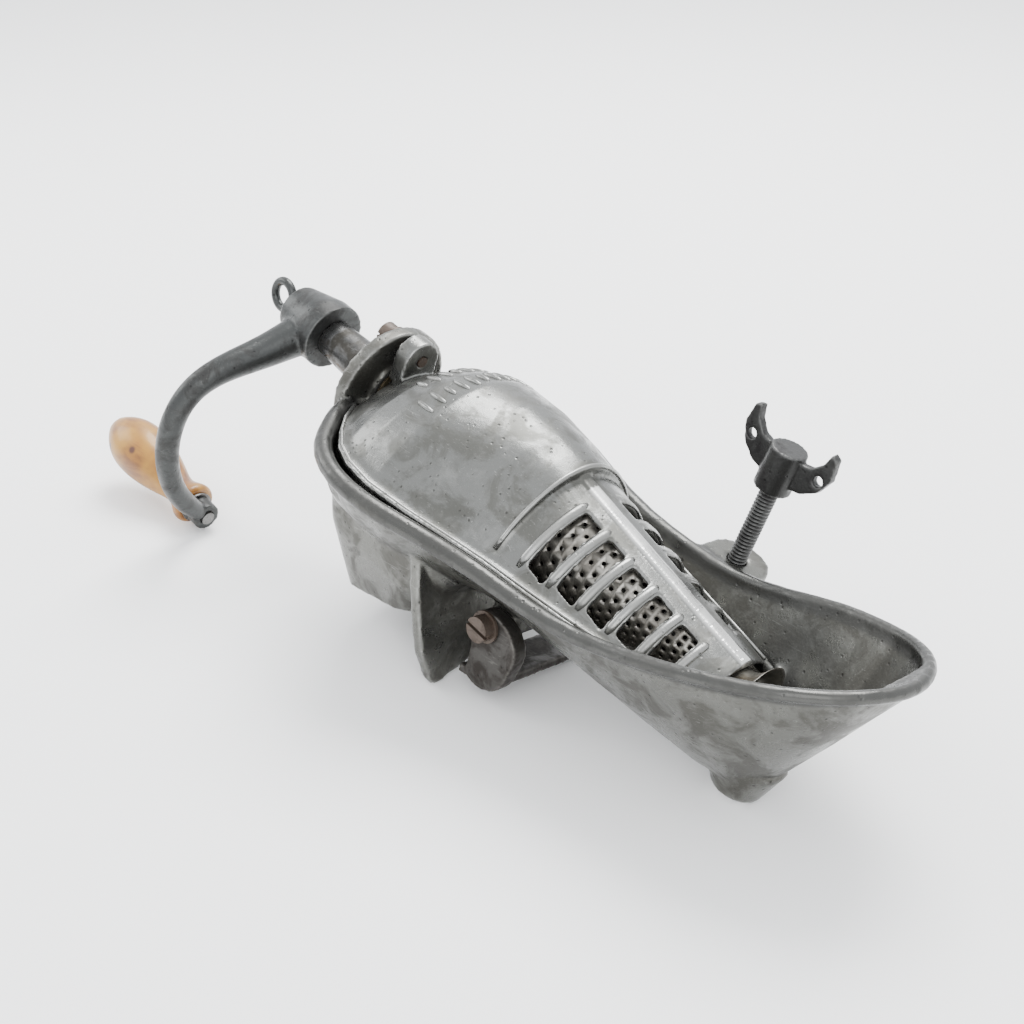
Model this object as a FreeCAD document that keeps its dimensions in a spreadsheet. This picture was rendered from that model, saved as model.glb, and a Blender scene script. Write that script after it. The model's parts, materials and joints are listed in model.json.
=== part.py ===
import FreeCAD, Part
import math
import os
import Sketcher
from FreeCAD import Placement, Rotation, Vector

# Clamp-on hand-cranked fruit strainer, laid down on its feed throat side.
# Every sub-part is modelled in the machine's own frame: +X runs along the worm
# from the crank bearing to the scoop, +Z points to the slotted grid cover, and
# the origin is the centre of the bearing flange's outer face.  One resting
# placement then turns all of them onto the surface that the machine lies on.

doc = FreeCAD.newDocument("fruit_strainer")
sheet = doc.addObject("Spreadsheet::Sheet", "dims")

DIMENSIONS = [
    # resting placement of the whole machine
    ("rest_pitch", 14.4), ("rest_roll", -10.2),
    ("rest_x", -69.42), ("rest_y", -0.72), ("rest_z", 113.1),
    # body casting
    ("wall", 3.2), ("flange_radius", 34.0), ("flange_depth", 8.0),
    ("boss_radius", 17.0), ("boss_end", 10.5), ("bead_radius", 5.0), ("bead_tip_radius", 3.4),
    ("foot_x", 278.0), ("foot_radius", 12.5), ("foot_bottom", -41.6), ("foot_height", 20.0),
    ("lug_x", 195.0), ("lug_y", 73.0), ("lug_top", 6.0), ("lug_depth", 11.0), ("lug_radius", 17.0),
    ("leg_depth", 7.0),
    # grid cover
    ("sheet_wall", 2.8), ("ear_back", 12.0), ("ear_front", 22.0), ("ear_half", 11.0), ("ear_eye", 25.5),
    ("slot_width", 11.0), ("slot_pitch", 17.2), ("slot_first", 162.5), ("slot_count", 5),
    ("slot_ridge", 11.5), ("strip_half", 4.2), ("strip_height", 1.3), ("step_wall", 2.6),
    # strainer
    ("cone_start", 146.0), ("cone_end", 256.0), ("cone_large", 28.0), ("cone_small", 8.6),
    ("cone_wall", 1.2), ("ring_radius", 30.6), ("ring_depth", 5.0),
    ("collar_bore", 9.4), ("collar_radius", 10.6), ("bell_radius", 20.0), ("bell_end", 268.0),
    # worm and drive shaft
    ("worm_start", 26.0), ("worm_core", 9.0), ("worm_tip_core", 4.2),
    ("flight_pitch", 27.0), ("flight_thick", 3.6), ("flight_gap", 0.8),
    ("journal_radius", 10.0), ("journal_fit", 0.05), ("bush_radius", 13.0),
    ("shank_small", 10.6), ("shank_large", 12.6), ("shank_start", -44.6), ("spindle_radius", 6.5),
    ("square_side", 13.0), ("square_gap", 0.1), ("square_start", -71.0),
    ("thrust_radius", 16.5), ("thrust_depth", 2.0),
    # crank
    ("hub_radius", 18.8), ("hub_back_radius", 13.5), ("hub_end", -77.0), ("arm_radius", 6.6),
    ("arm_end_x", -75.0), ("throw_y", -36.0), ("throw_z", -132.6), ("arm_end_half", 5.0),
    ("eye_stud_radius", 4.0), ("eye_ring_radius", 7.8), ("eye_wire_radius", 2.5), ("eye_x", -91.5),
    ("crank_washer_radius", 9.0), ("crank_washer_depth", 1.8),
    # handle
    ("pin_radius", 4.0), ("grip_bore", 4.05), ("grip_start", -82.0), ("grip_length", 88.0),
    ("grip_bead", 12.8), ("grip_neck", 9.2), ("grip_bulb", 16.8),
    ("pin_head_radius", 6.5), ("pin_head_depth", 3.0), ("grip_washer_radius", 9.5),
    ("grip_washer_depth", 1.4),
    # cover bolt
    ("bolt_radius", 3.0), ("bolt_fit", 0.08), ("bolt_head_radius", 6.2), ("bolt_head_depth", 7.0),
    ("bolt_washer_radius", 7.4), ("bolt_washer_depth", 1.2), ("bolt_end", 22.6), ("seat_gap", 0.3),
    # clamp screw, wings and pad
    ("screw_radius", 5.0), ("screw_fit", 0.08), ("screw_top", 60.0), ("screw_bottom", -43.0),
    ("wing_hub_radius", 9.5), ("wing_hub_bottom", 50.0), ("wing_hub_top", 73.0),
    ("wing_plate", 5.0), ("wing_eye_radius", 2.7),
    ("pad_radius", 13.0), ("pad_depth", 7.0), ("pad_neck_radius", 3.2), ("pad_neck_depth", 4.0),
    # clamp jaw
    ("jaw_x", 145.0), ("jaw_z", -42.0), ("jaw_near", -38.0), ("jaw_plate", 9.0),
    ("jaw_bolt_radius", 3.5), ("jaw_head_radius", 6.6), ("jaw_head_depth", 5.5),
    ("jaw_washer_radius", 8.2), ("jaw_washer_depth", 1.4), ("jaw_boss_radius", 9.0),
    ("jaw_boss_end", 12.0),
    ("shoe_near", -25.0), ("shoe_far", 31.0), ("shoe_bottom", -73.4), ("shoe_depth", 4.5),
    ("shoe_half", 12.0), ("shoe_x", 150.0),
]

for row, (alias, value) in enumerate(DIMENSIONS, start=1):
    sheet.set("A%d" % row, alias)
    sheet.set("B%d" % row, str(value))
    sheet.setAlias("B%d" % row, alias)
doc.recompute()


def dim(alias):
    """Value of one driving dimension."""
    return float(sheet.get(alias))


X_AXIS = Vector(1, 0, 0)
Y_AXIS = Vector(0, 1, 0)
Z_AXIS = Vector(0, 0, 1)
ALONG_X = Rotation(Z_AXIS, X_AXIS)
ALONG_Y = Rotation(Z_AXIS, Y_AXIS)
REST = Placement(Vector(dim("rest_x"), dim("rest_y"), dim("rest_z")),
                 Rotation(0, dim("rest_pitch"), dim("rest_roll")))
sub_parts = []


def keep(part, name, local=None):
    """Name a finished sub-part and lay it down with the rest of the machine."""
    part.Label = name
    part.Placement = REST.multiply(local) if local else REST
    sub_parts.append(part)
    return part


def feature(name, shape):
    """Sub-part whose shape is computed here."""
    part = doc.addObject("Part::Feature", name)
    part.Shape = shape
    return keep(part, name, shape.Placement)


def bind(part, **expressions):
    """Bind properties of an object to the sheet."""
    for prop, expression in expressions.items():
        part.setExpression(prop, expression)


def cylinder(name, radius, height, x, y, z, turn):
    """Cylinder primitive; radius and height are sheet expressions, (x, y, z) its start."""
    part = doc.addObject("Part::Cylinder", name)
    bind(part, Radius=radius, Height=height)
    part.Placement = Placement(Vector(x, y, z), turn)
    return part


def cone(name, first, last, height, x, y, z, turn):
    """Cone primitive from radius first to radius last."""
    part = doc.addObject("Part::Cone", name)
    bind(part, Radius1=first, Radius2=last, Height=height)
    part.Placement = Placement(Vector(x, y, z), turn)
    return part


def block(name, length, width, height, x, y, z):
    """Box primitive with its lowest corner at (x, y, z)."""
    part = doc.addObject("Part::Box", name)
    bind(part, Length=length, Width=width, Height=height)
    part.Placement = Placement(Vector(x, y, z), Rotation())
    return part


def joined(name, pieces):
    """Union of several pieces."""
    part = doc.addObject("Part::MultiFuse", name)
    part.Shapes = pieces
    part.Refine = True
    return part


def less(name, base, tool):
    """Base with the tool cut away."""
    part = doc.addObject("Part::Cut", name)
    part.Base = base
    part.Tool = tool
    return part


def origin_plane(body, role):
    """One of a body's own origin planes."""
    return next(item for item in body.Origin.OriginFeatures if item.Role == role)


def sketch_in(body, role, name):
    """New sketch on one of the body's origin planes."""
    sketch = body.newObject("Sketcher::SketchObject", name)
    sketch.AttachmentSupport = [(origin_plane(body, role), "")]
    sketch.MapMode = "FlatFace"
    return sketch


def circle_in(sketch, radius):
    """Circle about the sketch's origin with its radius bound to the sheet."""
    index = sketch.addGeometry(Part.Circle(Vector(), Z_AXIS, 1.0), False)
    sketch.addConstraint(Sketcher.Constraint("Coincident", index, 3, -1, 1))
    number = sketch.addConstraint(Sketcher.Constraint("Radius", index, dim_default(radius)))
    sketch.setExpression("Constraints[%d]" % number, radius)


def dim_default(expression):
    """Starting value for a bound radius, before the sheet drives it."""
    alias = expression.replace("dims.", "").split(" ")[0]
    return dim(alias)


def washer(name, outer, inner, depth, x, y, z, turn):
    """Flat washer as a padded ring sketch."""
    body = doc.addObject("PartDesign::Body", name)
    ring = sketch_in(body, "XY_Plane", name + "_ring")
    circle_in(ring, outer)
    circle_in(ring, inner)
    pad = body.newObject("PartDesign::Pad", name + "_pad")
    pad.Profile = ring
    pad.setExpression("Length", depth)
    body.Tip = pad
    return keep(body, name, Placement(Vector(x, y, z), turn))


def spline_edge(points):
    """Smooth curve through a few points."""
    curve = Part.BSplineCurve()
    curve.interpolate(points)
    return curve.toShape()


def loft(wires, ruled=True):
    """Closed solid through a row of wires."""
    return Part.makeLoft(wires, True, ruled)


def tube_through(points, radii):
    """Round bar of changing radius along a smooth line through points."""
    line = spline_edge(points)
    curve = line.Curve
    wires = []
    for point, radius in zip(points, radii):
        direction = curve.tangent(curve.parameter(point))[0]
        wires.append(Part.Wire(Part.makeCircle(radius, point, direction)))
    return Part.makeLoft(wires, True, False)


def resampled(points, radii, parts):
    """Points and radii of a bar, with each stretch of its smooth line split in equal parts."""
    curve = spline_edge(points).Curve
    knots = [curve.parameter(point) for point in points]
    fine_points = [points[0]]
    fine_radii = [radii[0]]
    for index in range(len(points) - 1):
        for part in range(1, parts + 1):
            share = part / parts
            fine_points.append(curve.value(knots[index] + share * (knots[index + 1] - knots[index])))
            fine_radii.append(radii[index] + share * (radii[index + 1] - radii[index]))
    return fine_points, fine_radii


def roll_along(points, radii, sides=10):
    """Many-sided bar along a row of points, one ruled stretch between each pair."""
    curve = spline_edge(points).Curve
    wires = []
    for point, radius in zip(points, radii):
        along = curve.tangent(curve.parameter(point))[0]
        across = along.cross(Z_AXIS).normalize()
        upward = across.cross(along).normalize()
        ring = []
        for side in range(sides):
            angle = 2 * math.pi * (side + 0.5) / sides
            ring.append(point + across * (radius * math.cos(angle)) + upward * (radius * math.sin(angle)))
        wires.append(Part.makePolygon(ring + ring[:1]))
    return loft(wires)


# ---------------------------------------------------------------- body casting

# station along X, half width at the rim, rim height, bottom height, fullness of the sides
TROUGH = [
    (8.0, 30.0, -2.0, -30.0, 1.0), (13.0, 40.0, -2.0, -34.0, 1.0), (22.0, 53.0, -2.0, -40.0, 1.0),
    (34.0, 66.0, -2.0, -45.0, 0.9), (50.0, 75.5, -1.5, -48.0, 0.8), (70.0, 79.0, -1.0, -50.0, 0.6),
    (90.0, 76.0, -0.5, -50.0, 0.45), (105.0, 71.5, 0.0, -50.0, 0.25), (128.0, 65.5, 0.9, -49.0, -0.25),
    (145.0, 62.0, 1.6, -48.0, -0.45), (175.0, 60.0, 3.8, -46.0, -0.35),
    (205.0, 58.0, 9.0, -44.0, -0.2), (235.0, 57.0, 20.3, -43.0, -0.1), (262.0, 56.0, 33.0, -41.0, 0.0),
    (280.0, 51.5, 41.0, -38.0, 0.0), (296.0, 45.0, 48.0, -18.0, 0.1), (308.0, 37.0, 53.5, 10.0, 0.2),
    (318.0, 26.0, 57.5, 35.0, 0.3), (325.0, 11.0, 59.5, 52.0, 0.5),
]


def trough_wire(x, half, rim, bottom, full, rise=0.0):
    """Closed trough section: a rounded V, carried straight up by rise above the rim."""
    depth = bottom - rim
    side = half * (0.80 + 0.14 * full)
    low = half * (0.42 + 0.26 * full)
    points = [Vector(x, half, rim), Vector(x, side, rim + 0.4 * depth),
              Vector(x, low, rim + 0.82 * depth), Vector(x, 0, bottom),
              Vector(x, -low, rim + 0.82 * depth), Vector(x, -side, rim + 0.4 * depth),
              Vector(x, -half, rim)]
    curve = spline_edge(points)
    if not rise:
        return Part.Wire([curve, Part.makeLine(points[-1], points[0])])
    lift = Vector(0, 0, rise)
    corners = [points[-1], points[-1] + lift, points[0] + lift, points[0]]
    return Part.Wire([curve] + Part.makePolygon(corners).Edges)


def throat_wire(z, x_low, x_high, half):
    """Rounded rectangle across the feed throat."""
    corner = 0.45 * min(half, (x_high - x_low) / 2)
    plane = Part.makePlane(x_high - x_low, 2 * half, Vector(x_low, -half, z))
    wire = plane.makeOffset2D(-corner).makeOffset2D(corner) if corner else plane
    return wire.Wires[0]


def body_shape():
    """Trough, rim bead, throat, bearing flange, clamp lug, leg and foot in one casting."""
    wall = dim("wall")
    outer = loft([trough_wire(*station) for station in TROUGH])
    inner = loft([trough_wire(x + (wall if x < 10 else 0), half - wall, rim, bottom + wall, full, 20.0)
                  for x, half, rim, bottom, full in TROUGH[:-1]])
    throat = loft([throat_wire(-14.0, 16.0, 124.0, 56.0), throat_wire(-52.0, 27.0, 113.0, 50.0),
                   throat_wire(-90.0, 48.0, 92.0, 37.0)])
    feed = loft([throat_wire(-30.0, 24.0, 115.0, 49.0),
                 throat_wire(-52.0, 27.0 + wall, 113.0 - wall, 50.0 - wall),
                 throat_wire(-90.0, 48.0 + wall, 92.0 - wall, 37.0 - wall),
                 throat_wire(-110.0, 56.0, 84.0, 30.0)])
    mouth = Part.makeBox(86.0, 140.0, 60.0, Vector(0, -70.0, -60.0))
    mouth.rotate(Vector(0, 0, 0), Y_AXIS, -22.0)
    mouth.translate(Vector(45.0, 0, -91.0))

    bead_points = [Vector(9.0, -30.0, -5.0), Vector(14.0, -41.0, -4.0), Vector(22.0, -52.0, -4.0),
                   Vector(34.0, -65.5, -4.0), Vector(50.0, -75.0, -3.5), Vector(70.0, -78.5, -3.0),
                   Vector(90.0, -75.5, -2.7), Vector(105.0, -71.0, -2.5),
                   Vector(145.0, -61.5, -1.0), Vector(175.0, -59.5, 1.5),
                   Vector(205.0, -57.5, 7.0), Vector(235.0, -56.5, 18.5), Vector(262.0, -55.5, 31.5),
                   Vector(280.0, -51.0, 39.5), Vector(296.0, -44.5, 46.7), Vector(308.0, -36.5, 52.2),
                   Vector(318.0, -25.5, 56.5), Vector(324.0, -13.0, 58.5), Vector(326.0, 0.0, 59.0)]
    mirrored = [Vector(p.x, -p.y, p.z) for p in reversed(bead_points[:-1])]
    large = dim("bead_radius")
    small = dim("bead_tip_radius")
    half_radii = [large - (large - small) * min(max((p.x - 120.0) / 140.0, 0.0), 1.0) for p in bead_points]
    radii = half_radii + list(reversed(half_radii[:-1]))
    bead = roll_along(*resampled(bead_points + mirrored, radii, 2))

    flange = Part.makeCylinder(dim("flange_radius"), dim("flange_depth"), Vector(), X_AXIS)
    boss = Part.makeCylinder(dim("boss_radius"), dim("boss_end"), Vector(), X_AXIS)
    foot = Part.makeCone(dim("foot_radius"), dim("foot_radius") + 6.0, dim("foot_height"),
                         Vector(dim("foot_x"), 0, dim("foot_bottom")), Z_AXIS)
    outlet = Part.makeCylinder(dim("foot_radius") - wall, dim("foot_height") + 30.0,
                               Vector(dim("foot_x"), 0, dim("foot_bottom") - 5.0), Z_AXIS)

    lug_low = dim("lug_top") - dim("lug_depth")
    lug = Part.makeCylinder(dim("lug_radius"), dim("lug_depth"),
                            Vector(dim("lug_x"), dim("lug_y"), lug_low), Z_AXIS)
    web = Part.makeBox(2 * dim("lug_radius"), dim("lug_y") - 47.0, dim("lug_depth"),
                       Vector(dim("lug_x") - dim("lug_radius"), 47.0, lug_low))
    lug_hole = Part.makeCylinder(dim("screw_radius") + dim("screw_fit"), dim("lug_depth") + 4.0,
                                 Vector(dim("lug_x"), dim("lug_y"), lug_low - 2.0), Z_AXIS)

    leg_outline = [(-56.0, -26.0), (-55.5, -44.0), (-51.5, -74.0), (-44.5, -90.3), (-39.0, -91.6),
                   (-18.0, -85.0), (-2.0, -74.0), (10.0, -54.0), (12.0, -38.0), (-20.0, -26.0)]
    leg_points = [Vector(105.0 - 0.36 * (z + 40.0), y, z) for y, z in leg_outline]
    leg_face = Part.Face(Part.makePolygon(leg_points + leg_points[:1]))
    leg = leg_face.extrude(Vector(dim("leg_depth"), 0, 0))

    boss_near = dim("jaw_near") + dim("jaw_plate") + 0.3
    jaw_boss = Part.makeCylinder(dim("jaw_boss_radius"), dim("jaw_boss_end") - boss_near,
                                 Vector(dim("jaw_x"), boss_near, dim("jaw_z")), Y_AXIS)
    jaw_hole = Part.makeCylinder(dim("jaw_bolt_radius"), 60.0,
                                 Vector(dim("jaw_x"), boss_near - 2.0, dim("jaw_z")), Y_AXIS)

    def bulkhead(x, depth, radius):
        """Cross wall inside the trough with a round cradle for the strainer."""
        slab = Part.makeBox(depth, 160.0, 60.0, Vector(x, -80.0, -63.4))
        web_wall = slab.common(outer)
        return web_wall.cut(Part.makeCylinder(radius, depth + 2.0, Vector(x - 1.0, 0, 0), X_AXIS))

    shell = outer.cut(inner)
    for piece in (bead, throat.cut(inner), flange, boss):
        shell = shell.fuse(piece)
    shell = shell.cut(feed).cut(mouth)
    ring_bulkhead = bulkhead(dim("cone_start") - dim("ring_depth") - 1.0, 5.0, dim("ring_radius"))
    collar_bulkhead = bulkhead(dim("cone_end") - 2.0, 4.0, dim("collar_radius"))
    shell = shell.fuse([ring_bulkhead, collar_bulkhead, foot.cut(inner), lug.fuse(web).cut(inner),
                        leg.cut(inner), jaw_boss.cut(inner)])
    shaft_bore = Part.makeCylinder(dim("bush_radius"), 40.0, Vector(-5.0, 0, 0), X_AXIS)
    bolt_hole = Part.makeCylinder(dim("bolt_radius") + dim("bolt_fit"), 30.0,
                                  Vector(-5.0, 0, dim("ear_eye")), X_AXIS)
    for way in (shaft_bore, bolt_hole, outlet, lug_hole, jaw_hole):
        shell = shell.cut(way)
    return shell


feature("body_casting", body_shape())


# ------------------------------------------------------------------ grid cover

# station along X, half width of the border, height of the crown
DOME = [
    (11.8, 23.2, 9.5), (16.0, 34.4, 12.5), (22.0, 43.7, 16.5), (31.0, 54.2, 24.5), (42.0, 63.3, 32.5),
    (55.0, 68.5, 39.5), (72.0, 70.2, 44.5), (96.0, 66.2, 46.5), (118.0, 60.5, 45.0), (132.0, 57.0, 42.5),
    (141.0, 54.8, 40.5),
]
GRID = [
    (141.0, 54.8, 35.0), (150.0, 53.0, 32.8), (165.0, 50.8, 30.0), (188.0, 46.5, 25.7),
    (206.0, 42.5, 22.4), (230.0, 37.5, 18.0), (250.0, 33.0, 14.8), (257.0, 31.0, 14.0),
]
BORDER = 6.0


def cover_wire(x, half, crown, inset, base):
    """Closed section of the cover: flat border, then a rounded crown."""
    foot_half = half - BORDER - inset if inset else half
    top = crown - inset
    points = [Vector(x, foot_half, 0), Vector(x, 0.90 * (half - BORDER) - inset, 0.22 * top),
              Vector(x, 0.66 * (half - BORDER), 0.62 * top), Vector(x, 0.34 * (half - BORDER), 0.90 * top),
              Vector(x, 0, top)]
    if not inset:
        points[1:2] = [Vector(x, half - BORDER, 0.05 * top), Vector(x, 0.90 * (half - BORDER), 0.24 * top)]
    mirrored = [Vector(x, -p.y, p.z) for p in reversed(points[:-1])]
    crown_edge = spline_edge(points + mirrored)
    first = points[0]
    last = mirrored[-1]
    low_first = Vector(x, first.y, base)
    low_last = Vector(x, last.y, base)
    return Part.Wire([Part.makeLine(low_first, first), crown_edge, Part.makeLine(last, low_last),
                      Part.makeLine(low_last, low_first)])


def cover_shape():
    """Domed and slotted cover with the bolted ear over the bearing."""
    inset = dim("sheet_wall")
    base = -inset
    skin = loft([cover_wire(*s, 0.0, base) for s in DOME]).fuse(
        loft([cover_wire(*s, 0.0, base) for s in GRID]))
    hollow_dome = loft([cover_wire(*s, inset, base - 2.0) for s in DOME])
    hollow_grid = loft([cover_wire(*s, inset, base - 2.0) for s in GRID])
    shell = skin.cut(hollow_dome).cut(hollow_grid)
    step_x, step_half, step_crown = DOME[-1]
    step_back = step_x - dim("step_wall")
    step_plate = loft([cover_wire(step_back, step_half, step_crown, 0.6, base),
                       cover_wire(step_x, step_half, step_crown, 0.6, base)])
    step_way = loft([cover_wire(step_back - 1.0, *GRID[0][1:], inset, base - 2.0),
                     cover_wire(step_x + 1.0, *GRID[0][1:], inset, base - 2.0)])
    shell = shell.fuse(step_plate.cut(step_way))
    width = dim("slot_width")
    ridge = dim("slot_ridge")
    for number in range(int(dim("slot_count"))):
        x = dim("slot_first") + number * dim("slot_pitch")
        reach = 42.0 - 0.17 * (x - dim("slot_first"))
        for side in (-1, 1):
            y_low = ridge if side > 0 else -reach
            slot = Part.makeBox(width, reach - ridge, 60.0, Vector(x - width / 2, y_low, 1.2))
            shell = shell.cut(slot)
    depth = dim("ear_front") - dim("ear_back")
    half = dim("ear_half")
    eye = dim("ear_eye")
    disc = Part.makeCylinder(half, depth, Vector(dim("ear_back"), 0, eye), X_AXIS)
    stem = Part.makeBox(depth, 2 * half, eye - 12.0, Vector(dim("ear_back"), -half, 12.0))
    ear = disc.fuse(stem).cut(hollow_dome)
    hole = Part.makeCylinder(dim("bolt_radius") + dim("bolt_fit"), 30.0, Vector(0, 0, eye), X_AXIS)
    strip_half = dim("strip_half")
    strip_wires = []
    for x, half_width, crown in GRID:
        low = crown - 2.0
        high = crown + dim("strip_height")
        corners = [Vector(x, -strip_half, low), Vector(x, strip_half, low),
                   Vector(x, 0.75 * strip_half, high), Vector(x, -0.75 * strip_half, high)]
        strip_wires.append(Part.makePolygon(corners + corners[:1]))
    return shell.fuse([ear, loft(strip_wires)]).cut(hole)


feature("grid_cover", cover_shape())


# -------------------------------------------------------------------- strainer

def cone_shell(start, end, first, last, thickness):
    """Thin conical tube along X."""
    outer = Part.makeCone(first, last, end - start, Vector(start, 0, 0), X_AXIS)
    inner = Part.makeCone(first - thickness, last - thickness, end - start, Vector(start, 0, 0), X_AXIS)
    return outer.cut(inner)


feature("strainer_cone", cone_shell(dim("cone_start"), dim("cone_end"), dim("cone_large"),
                                    dim("cone_small"), dim("cone_wall")))

ring_outer = cylinder("ring_blank", "dims.ring_radius", "dims.ring_depth",
                      dim("cone_start") - dim("ring_depth"), 0, 0, ALONG_X)
ring_inner = cylinder("ring_opening", "dims.cone_large - dims.cone_wall", "dims.ring_depth + 2",
                      dim("cone_start") - dim("ring_depth") - 1, 0, 0, ALONG_X)
keep(less("strainer_ring", ring_outer, ring_inner), "strainer_ring")

collar_outer = cylinder("collar_blank", "dims.collar_radius", "8", dim("cone_end") - 4.0, 0, 0, ALONG_X)
bell_outer = cone("bell_blank", "dims.collar_radius", "dims.bell_radius", "dims.bell_end - dims.cone_end - 4",
                  dim("cone_end") + 4.0, 0, 0, ALONG_X)
collar_inner = cylinder("collar_opening", "dims.collar_bore", "9", dim("cone_end") - 4.5, 0, 0, ALONG_X)
bell_inner = cone("bell_opening", "dims.collar_bore", "dims.bell_radius - 1.8",
                  "dims.bell_end - dims.cone_end - 4 + 0.01", dim("cone_end") + 4.0, 0, 0, ALONG_X)
keep(less("outlet_collar", joined("collar_solid", [collar_outer, bell_outer]),
          joined("collar_hollow", [collar_inner, bell_inner])), "outlet_collar")


# -------------------------------------------------------- worm and drive shaft

def flight(start, length, root, rim_radius, rim_slope):
    """Helical blade along X between a root radius and a rim that narrows by rim_slope."""
    pitch = dim("flight_pitch")
    steps = int(length / pitch * 18)
    sections = []
    for step in range(steps + 1):
        along = start + length * step / steps
        angle = 2 * math.pi * length * step / steps / pitch
        outward = Vector(0, math.cos(angle), math.sin(angle))
        radius = rim_radius - rim_slope * (along - start)
        half = dim("flight_thick") / 2
        low = outward * root
        high = outward * radius
        corners = [low + Vector(along - half, 0, 0), high + Vector(along - 0.6 * half, 0, 0),
                   high + Vector(along + 0.6 * half, 0, 0), low + Vector(along + half, 0, 0)]
        sections.append(Part.makePolygon(corners + corners[:1]))
    return loft(sections)


def worm_shape():
    """Tapered core with a wide flight in the hopper and a narrowing one in the strainer."""
    start = dim("worm_start")
    end = dim("cone_end") - 1.0
    core = Part.makeCone(dim("worm_core"), dim("worm_tip_core"), end - start, Vector(start, 0, 0), X_AXIS)
    slope = (dim("cone_large") - dim("cone_small")) / (dim("cone_end") - dim("cone_start"))
    split = dim("cone_start")
    inside = dim("cone_large") - dim("cone_wall") - dim("flight_gap")
    pitch = dim("flight_pitch")
    first = split - 3 * pitch
    feeding = flight(first, 3 * pitch, 4.5, inside - 0.5, 0.0)
    pressing = flight(split, end - split - 10.0, 3.0, inside - 0.5, slope)
    return core.fuse([feeding, pressing]).removeSplitter()


feature("worm", worm_shape())

collar_of_shaft = cone("shaft_taper", "dims.shank_small", "dims.shank_large", "-dims.shank_start - 2.2",
                       dim("shank_start"), 0, 0, ALONG_X)
journal = cylinder("shaft_journal", "dims.journal_radius", "2.2 + dims.boss_end",
                   -2.2, 0, 0, ALONG_X)
spindle = cylinder("shaft_spindle", "dims.spindle_radius", "dims.worm_start - dims.boss_end",
                   dim("boss_end"), 0, 0, ALONG_X)
square = block("shaft_square", "dims.shank_start - dims.square_start", "dims.square_side", "dims.square_side",
               dim("square_start"), -dim("square_side") / 2, -dim("square_side") / 2)
stud_hole = cylinder("shaft_stud_hole", "dims.eye_stud_radius", "20",
                     dim("square_start") - 1.0, 0, 0, ALONG_X)
keep(less("drive_shaft", joined("shaft_solid", [collar_of_shaft, journal, spindle, square]), stud_hole),
     "drive_shaft")

washer("shaft_bush", "dims.bush_radius", "dims.journal_radius + dims.journal_fit", "dims.boss_end",
       0, 0, 0, ALONG_X)
washer("thrust_washer", "dims.thrust_radius", "dims.journal_radius + dims.journal_fit", "dims.thrust_depth",
       -2.1, 0, 0, ALONG_X)


# ----------------------------------------------------------------------- crank

def crank_shape():
    """Domed hub, curved arm and the round end that holds the grip pin."""
    hub_face = dim("shank_start")
    hub_end = dim("hub_end")
    ring_depth = 9.0
    ring = Part.makeCylinder(dim("hub_radius"), ring_depth, Vector(hub_face - ring_depth, 0, 0), X_AXIS)
    crown = Part.makeCone(dim("hub_back_radius"), dim("hub_radius"), hub_face - ring_depth - hub_end,
                          Vector(hub_end, 0, 0), X_AXIS)
    throw_y = dim("throw_y")
    throw_z = dim("throw_z")
    end_x = dim("arm_end_x")
    radius = dim("arm_radius")
    arm_points = [Vector(-60.0, -7.0, -5.0), Vector(-62.0, -27.3, -13.5), Vector(-65.0, -49.3, -22.8),
                  Vector(-67.5, -66.0, -34.4), Vector(-69.5, -74.3, -52.8), Vector(-71.5, -73.5, -77.5),
                  Vector(-72.6, -65.4, -101.0), Vector(-73.4, -51.0, -120.5),
                  Vector(end_x + 1.2, throw_y, throw_z)]
    arm = tube_through(arm_points, [11.5, 9.4, 7.8, radius + 0.3, radius, radius, radius - 0.2, radius - 0.5,
                                    radius - 2.3])
    half = dim("arm_end_half")
    eye = Part.makeCylinder(8.2, 2 * half, Vector(end_x - half, throw_y, throw_z), X_AXIS)
    side = dim("square_side") + 2 * dim("square_gap")
    seat = Part.makeBox(hub_face - dim("square_start") + 0.2, side, side,
                        Vector(dim("square_start") - 0.1, -side / 2, -side / 2))
    stud_way = Part.makeCylinder(dim("eye_stud_radius") + 0.1, 20.0, Vector(hub_end - 1.0, 0, 0), X_AXIS)
    pin_way = Part.makeCylinder(dim("pin_radius"), 40.0, Vector(end_x - 20.0, throw_y, throw_z), X_AXIS)
    return ring.fuse([crown, arm, eye]).cut([seat, stud_way, pin_way]).removeSplitter()


feature("crank_arm", crank_shape())

washer("crank_washer", "dims.crank_washer_radius", "dims.eye_stud_radius + 0.06", "dims.crank_washer_depth",
       dim("hub_end") - dim("crank_washer_depth") - dim("seat_gap"), 0, 0, ALONG_X)

eye_stud = cylinder("eye_stud", "dims.eye_stud_radius - 0.03", "22", -80.8 - 3.0, 0, 0, ALONG_X)
eye_collar_start = dim("hub_end") - dim("crank_washer_depth") - dim("seat_gap") - 3.05
eye_collar = cylinder("eye_collar", "6", "3", eye_collar_start, 0, 0, ALONG_X)
eye_ring = doc.addObject("Part::Torus", "eye_ring")
bind(eye_ring, Radius1="dims.eye_ring_radius", Radius2="dims.eye_wire_radius")
eye_ring.Placement = Placement(Vector(dim("eye_x"), 0, 0), Rotation(Z_AXIS, Y_AXIS))
keep(joined("crank_eye_screw", [eye_stud, eye_collar, eye_ring]), "crank_eye_screw")


# ---------------------------------------------------------------------- handle

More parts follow.
